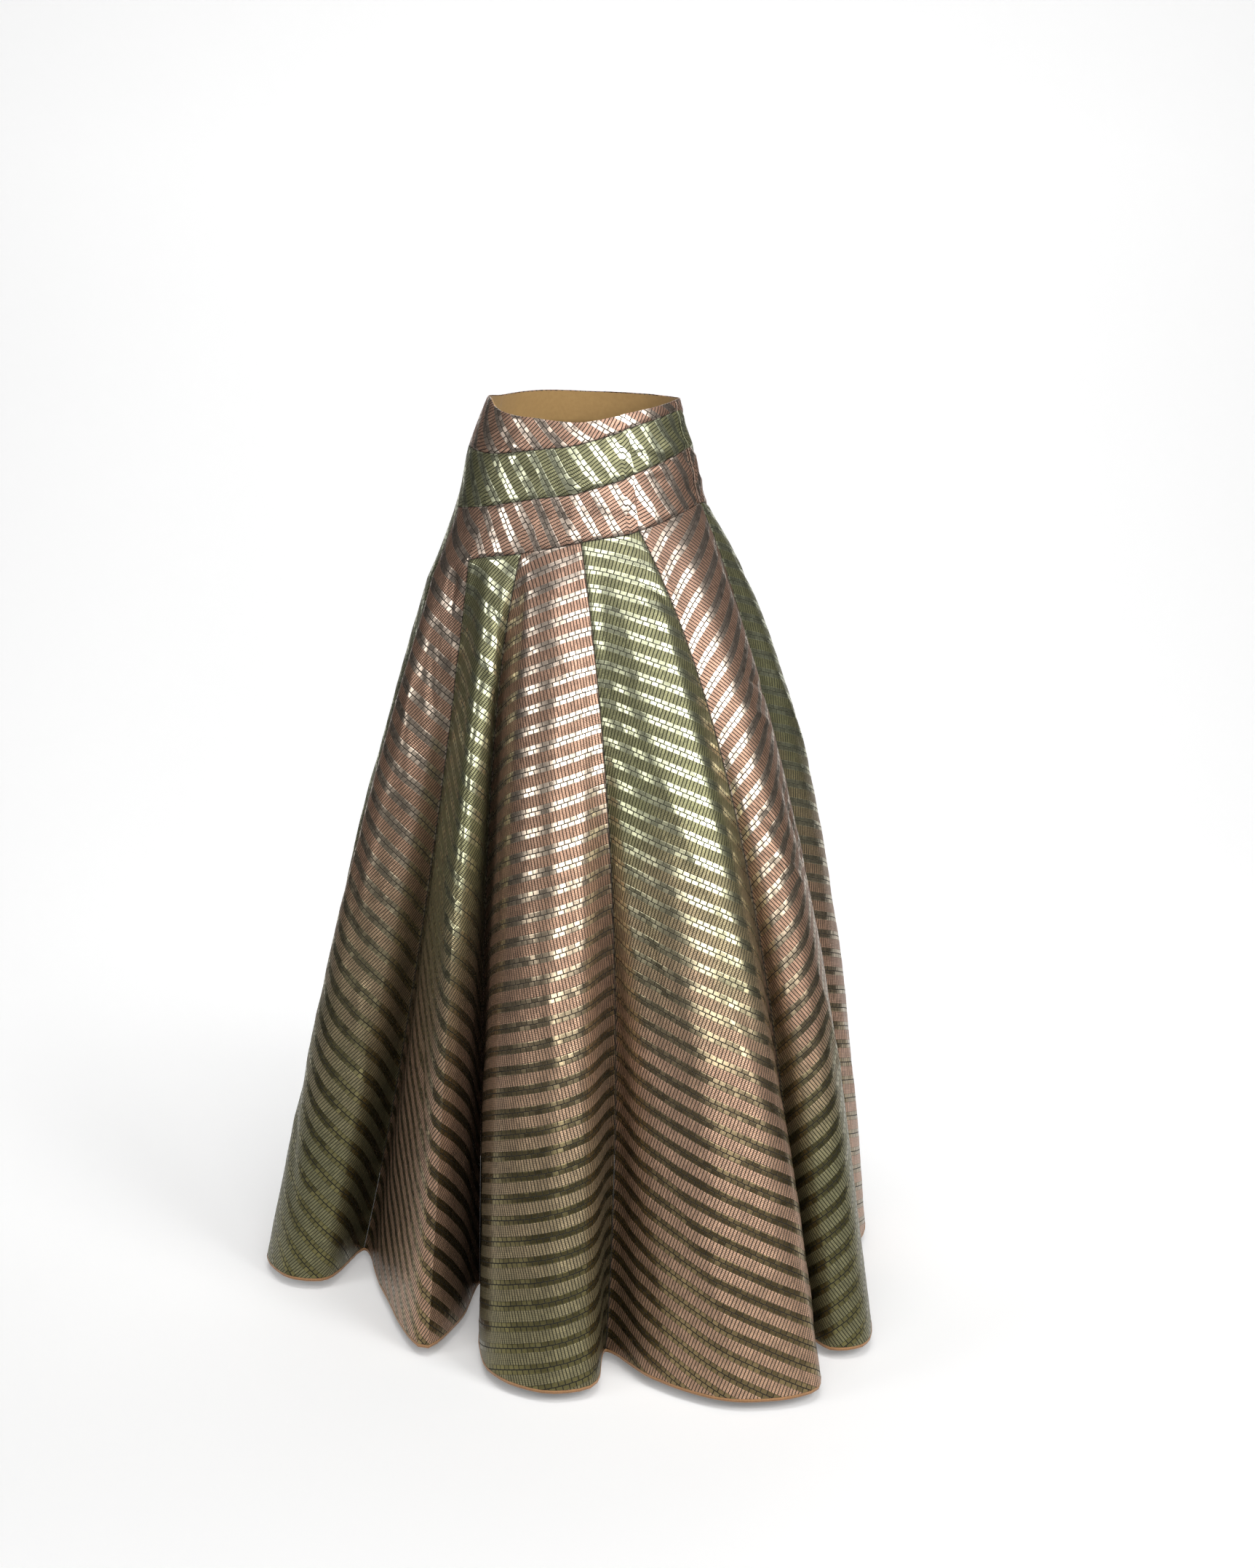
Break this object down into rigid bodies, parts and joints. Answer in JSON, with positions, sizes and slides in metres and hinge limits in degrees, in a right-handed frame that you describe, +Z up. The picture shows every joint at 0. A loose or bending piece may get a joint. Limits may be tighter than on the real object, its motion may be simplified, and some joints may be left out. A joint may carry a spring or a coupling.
{
  "type": "lehenga skirt",
  "caption": "Long flared lehenga skirt in a metallic brick-and-bar stripe weave, slanting yoke bands over deep fluted gores, hollow worn form.",
  "frame": {"origin": "middle of the waist opening, level with the waist edge at the sides, where the wearer holds the skirt up", "axes": "+Z up, out of the waist opening; the wearer's front faces -Y and the wearer's left side is +X"},
  "size_m": [0.8156, 0.9071, 1.148],
  "materials": {
    "rose_weave": "satin foil bricks and cross-ribbed bars, metallic sheen",
    "green_weave": "satin foil bricks and cross-ribbed bars, metallic sheen",
    "rose_to_green_weave": "satin foil bricks and cross-ribbed bars, rose shading to green at the hem",
    "green_to_rose_weave": "satin foil bricks and cross-ribbed bars, green shading to rose at the hem",
    "facing_cotton": "matt plain weave",
    "placket_weave": "folded edge of the metallic weave",
    "binding_tape": "matt folded tape"
  },
  "bodies": {
    "root": {"band_a_front": "rose_weave", "band_a_back": "rose_weave", "panel_b_gore_0": "green_to_rose_weave", "band_b_back": "green_weave", "panel_c_gore_1": "rose_to_green_weave", "band_c_back": "rose_weave", "gore_2": "green_to_rose_weave", "gore_3": "rose_to_green_weave", "gore_4": "green_to_rose_weave", "gore_5": "rose_to_green_weave", "gore_6": "green_to_rose_weave", "gore_7": "rose_to_green_weave", "gore_8": "green_to_rose_weave", "gore_9": "rose_to_green_weave", "gore_10": "green_to_rose_weave", "gore_11": "rose_to_green_weave", "waist_facing": "facing_cotton", "side_placket": "placket_weave", "hem_binding": "binding_tape"}
  },
  "joints": []
}
